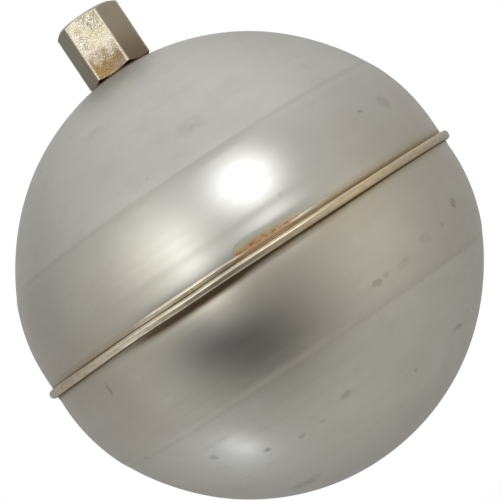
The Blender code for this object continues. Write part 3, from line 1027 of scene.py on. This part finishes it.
# The studio: a soft tent, a little brighter below, with lights in it. A negative colour is a dark patch.
# Each light is a direction in the picture's axes (right, up, towards the camera), a tightness and a colour.
TENT = (0.26, 0.245, 0.195)
TENT_SLOPE = (0.080, -0.190, 0.065)
TENT_LEAST = (0.02, 0.02, 0.02)
SOFT_LIGHTS = (
    ((-0.014, 0.610, 0.792), 36.0, (2.50, 2.50, 2.48)),  # overhead softbox
    ((-0.591, 0.045, 0.805), 12.7, (0.88, 0.86, 0.765)),  # warm panel to the left
    ((-0.532, 0.128, 0.837), 90.0, (0.24, 0.24, 0.23)),  # narrow strip beside it, in three lengths
    ((-0.434, -0.045, 0.899), 95.0, (0.44, 0.44, 0.425)),
    ((-0.345, -0.215, 0.914), 90.0, (0.18, 0.18, 0.17)),
    ((-0.451, -0.425, 0.785), 19.3, (-0.26, -0.25, -0.20)),  # its dark lower end
    ((0.067, -0.566, 0.822), 7.4, (-0.38, -0.37, -0.34)),  # the dark of the room behind the camera
    ((-0.092, -0.968, -0.233), 42.0, (0.15, 0.19, 0.24)),  # low light under the float, with a hot core
    ((-0.039, -0.992, -0.118), 320.0, (1.00, 1.01, 1.03)),
    ((-0.387, 0.902, -0.191), 1.2, (0.745, 0.755, 0.785)),  # bright ceiling, behind and to the left
    ((0.779, 0.332, 0.532), 7.4, (0.18, 0.17, 0.13)),  # warm wall to the right
    ((0.889, 0.063, 0.455), 9.0, (0.07, 0.06, 0.045)),
    ((-0.815, -0.191, -0.548), 4.0, (-0.10, -0.10, -0.08)),  # darker walls behind
    ((0.250, -0.400, -0.880), 4.0, (-0.12, -0.12, -0.10)),
    ((-0.971, -0.176, 0.159), 12.0, (0.10, 0.10, 0.085)),  # faint fill round the edges
    ((-0.380, -0.714, -0.588), 8.0, (0.08, 0.08, 0.075)),
    ((-0.501, -0.828, 0.252), 20.0, (0.09, 0.09, 0.09)),
    ((0.152, 0.985, 0.079), 16.0, (0.07, 0.07, 0.07)),
    ((-0.819, 0.401, 0.410), 20.0, (0.08, 0.08, 0.07)),
    ((0.491, -0.666, -0.562), 6.0, (0.04, 0.04, 0.04)),
)


def in_picture(x, y, z):
    """A vector given in the picture's axes, as world coordinates."""
    return RIGHT * x + UP * y + BACK * z


def studio_world():
    """The lights reach the object; the camera sees plain white."""
    world = bpy.data.worlds.new("studio")
    bpy.context.scene.world = world
    world.use_nodes = True
    n = Tree(world.node_tree)
    toward = n.new("ShaderNodeTexCoord").outputs["Generated"]
    lit = n.vector("ADD", n.vector("DOT_PRODUCT", toward, tuple(in_picture(*TENT_SLOPE))), TENT)
    for aim, tightness, colour in SOFT_LIGHTS:
        near = n.vector("DOT_PRODUCT", toward, tuple(in_picture(*aim).normalized()))
        lobe = n.math("EXPONENT", n.times(n.minus(near, 1.0), tightness))
        lit = n.vector("ADD", lit, n.vector("MULTIPLY", lobe, colour))
    lit = n.vector("MAXIMUM", lit, TENT_LEAST)
    seen = n.new("ShaderNodeLightPath").outputs["Is Camera Ray"]
    n.put(n.tree.nodes["Background"].inputs["Color"], n.mix(seen, lit, (1.0, 1.0, 1.0)))


FLOOR_DROP = 250.0  # mm below the ball
FLOOR_HALF = 4.0  # m
FLOOR_FADE = (0.5, 1.6)  # m from the middle
FLOOR_GLOW = (0.25, 1.0)  # share of plain white light, before and after the fade


def studio_floor():
    """A pale floor well below the float, which fades into the white of the studio."""
    level = (BALL_CENTRE - BALL_RADIUS - FLOOR_DROP) * MM
    mesh = bpy.data.meshes.new("studio_floor")
    corners = [(x * FLOOR_HALF, y * FLOOR_HALF, level) for x, y in ((-1, -1), (1, -1), (1, 1), (-1, 1))]
    mesh.from_pydata(corners, [], [(0, 1, 2, 3)])
    floor = add_object("studio_floor", mesh)
    material = bpy.data.materials.new("studio_floor")
    material.use_nodes = True
    n = Tree(material.node_tree)
    n.tree.nodes.clear()
    reach = n.vector("LENGTH", n.new("ShaderNodeTexCoord").outputs["Object"])
    pale = n.new("ShaderNodeBsdfDiffuse")
    pale.inputs["Color"].default_value = (0.92, 0.92, 0.91, 1.0)
    mix = n.new("ShaderNodeMixShader")
    n.put(mix.inputs[0], n.step(reach, *FLOOR_FADE, *FLOOR_GLOW))
    n.put(mix.inputs[1], pale.outputs[0])
    n.put(mix.inputs[2], n.new("ShaderNodeEmission").outputs[0])
    n.put(n.new("ShaderNodeOutputMaterial").inputs["Surface"], mix.outputs[0])
    mesh.materials.append(material)
    floor.visible_glossy = False
    floor.visible_diffuse = False


def add_camera():
    data = bpy.data.cameras.new("camera")
    data.sensor_width = 36.0
    data.lens = CAMERA_LENS
    data.clip_end = 20.0
    camera = add_object("camera", data)
    look = Matrix((RIGHT, UP, BACK)).transposed()
    tilt = Matrix.Rotation(math.radians(CAMERA_TILT), 3, "X")
    pan = Matrix.Rotation(math.radians(CAMERA_PAN), 3, "Y")
    place = Vector((0.0, 0.0, BALL_CENTRE * MM)) + BACK * CAMERA_DISTANCE * MM
    camera.matrix_world = Matrix.Translation(place) @ (look @ (tilt @ pan)).to_4x4()
    return camera


studio_world()
studio_floor()
bpy.context.scene.camera = add_camera()
bpy.context.scene.view_settings.view_transform = "Standard"
bpy.context.scene.view_settings.look = "None"
